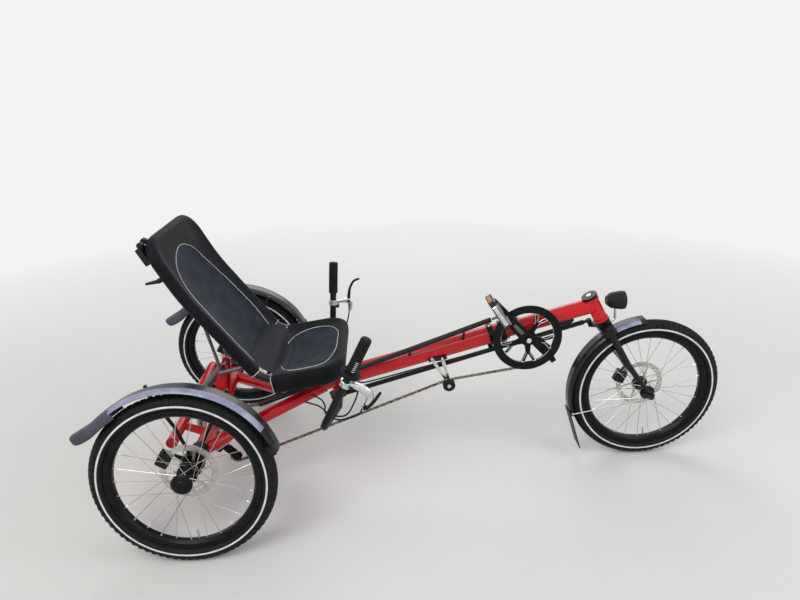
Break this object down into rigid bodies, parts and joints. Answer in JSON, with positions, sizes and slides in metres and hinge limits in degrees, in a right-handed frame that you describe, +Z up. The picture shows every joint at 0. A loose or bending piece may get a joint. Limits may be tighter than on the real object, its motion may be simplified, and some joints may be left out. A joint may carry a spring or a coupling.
{
  "type": "recumbent tricycle",
  "caption": "Recumbent tricycle with a steered front wheel, two cambered rear wheels, a mesh seat on a bent tube frame, under-seat steering and pedals on a boom.",
  "frame": {"origin": "on the ground, at the middle of the bounding box's bottom face", "axes": "+X forwards along the tricycle, +Y to its left, +Z up"},
  "size_m": [1.955, 0.8988, 0.85],
  "materials": {
    "tyre": "matte black road tyre",
    "black_rim": "satin black anodised rim",
    "black_alloy": "black anodised alloy",
    "hub_black": "black anodised hub",
    "steel": "brushed stainless steel",
    "red_paint": "gloss red powder coat",
    "silver_alloy": "polished alloy",
    "grey_alloy": "matt grey alloy",
    "black_plastic": "matt black plastic",
    "guard_plastic": "satin black mudguard plastic",
    "flap_rubber": "grey rubber flap",
    "mesh_fabric": "black seat mesh with grey-blue panels",
    "grip_rubber": "black grip rubber",
    "chain_steel": "oiled steel chain",
    "hose": "black chain tube",
    "lamp": "black lamp housing"
  },
  "bodies": {
    "frame": {"axle_housings": "black_alloy", "axle_tube": "red_paint", "boom": "red_paint", "boom_clamp": "black_alloy", "chain": "chain_steel", "chain_tube": "hose", "derailleur": "black_alloy", "guard_stays": "black_alloy", "head_tube": "red_paint", "headset": "black_alloy", "idler_bracket": "silver_alloy", "main_tube": "red_paint", "rear_arms": "red_paint", "rear_calipers": "black_alloy", "rear_flaps": "flap_rubber", "rear_guards": "guard_plastic", "seat_back": "mesh_fabric", "seat_base": "mesh_fabric", "seat_clips": "black_plastic", "seat_frame": "black_alloy", "seat_lugs": "red_paint", "seat_saddle": "black_alloy", "seat_struts": "grey_alloy"},
    "front_wheel": {"front_tyre": "tyre", "front_rim": "black_rim", "front_hub": "hub_black", "front_disc": "steel"},
    "rear_right_wheel": {"rear_right_tyre": "tyre", "rear_right_rim": "black_rim", "rear_right_hub": "hub_black", "rear_right_disc": "steel"},
    "rear_left_wheel": {"rear_left_tyre": "tyre", "rear_left_rim": "black_rim", "rear_left_hub": "hub_black", "rear_left_disc": "steel"},
    "fork": {"fork": "black_alloy", "front_axle": "silver_alloy", "front_guard": "guard_plastic", "front_flap": "flap_rubber", "front_stays": "steel", "front_caliper": "black_alloy", "headlight": "lamp", "light_bracket": "steel"},
    "handlebar": {"handlebar": "black_alloy", "grips": "grip_rubber", "shifter": "black_plastic", "lever_bodies": "silver_alloy", "lever_blades": "black_alloy"},
    "steering_rod": {"steering_rod": "black_alloy"},
    "crank": {"chainring": "black_alloy", "crank_arms": "black_alloy"},
    "pedal_right": {"pedal_right": "silver_alloy"},
    "pedal_left": {"pedal_left": "silver_alloy"},
    "idler": {"idler": "black_plastic"},
    "cassette": {"cassette": "steel"}
  },
  "joints": [
    {"name": "steer", "type": "hinge", "parent": "frame", "child": "fork", "pos_m": [0.533, 0, 0.545], "axis": [-0.5, 0, 0.866], "range_deg": [-30, 30]},
    {"name": "handlebar_turn", "type": "hinge", "parent": "frame", "child": "handlebar", "pos_m": [-0.312, 0, 0.32436], "axis": [-0.2689, 0, 0.9632], "range_deg": [-30, 30]},
    {"name": "steering_rod_swing", "type": "hinge", "parent": "handlebar", "child": "steering_rod", "pos_m": [-0.32323, 0.032, 0.23816], "axis": [-0.2606, -0.0093, 0.9654], "range_deg": [-31, 31]},
    {"name": "front_wheel_spin", "type": "hinge", "parent": "fork", "child": "front_wheel", "pos_m": [0.727, 0, 0.25], "axis": [0, 1, 0], "continuous": true},
    {"name": "rear_right_wheel_spin", "type": "hinge", "parent": "frame", "child": "rear_right_wheel", "pos_m": [-0.697, -0.407, 0.2492], "axis": [0, 0.9965, -0.0837], "continuous": true},
    {"name": "rear_left_wheel_spin", "type": "hinge", "parent": "frame", "child": "rear_left_wheel", "pos_m": [-0.697, 0.407, 0.2492], "axis": [0, 0.9965, 0.0837], "continuous": true},
    {"name": "crank_spin", "type": "hinge", "parent": "frame", "child": "crank", "pos_m": [0.304, 0, 0.473], "axis": [0, 1, 0], "continuous": true},
    {"name": "pedal_right_spin", "type": "hinge", "parent": "crank", "child": "pedal_right", "pos_m": [0.19025, -0.105, 0.59933], "axis": [0, 1, 0], "continuous": true},
    {"name": "pedal_left_spin", "type": "hinge", "parent": "crank", "child": "pedal_left", "pos_m": [0.41775, 0.105, 0.34667], "axis": [0, 1, 0], "continuous": true},
    {"name": "idler_spin", "type": "hinge", "parent": "frame", "child": "idler", "pos_m": [0.058, -0.048, 0.315], "axis": [0, 1, 0], "continuous": true},
    {"name": "cassette_spin", "type": "hinge", "parent": "frame", "child": "cassette", "pos_m": [-0.697, -0.0921, 0.2228], "axis": [0, 0.9965, -0.0837], "continuous": true}
  ],
  "couplings": [
    {"joint": "handlebar_turn", "follows": "steer", "ratio": 1},
    {"joint": "steering_rod_swing", "follows": "steer", "ratio": -1.0002}
  ]
}
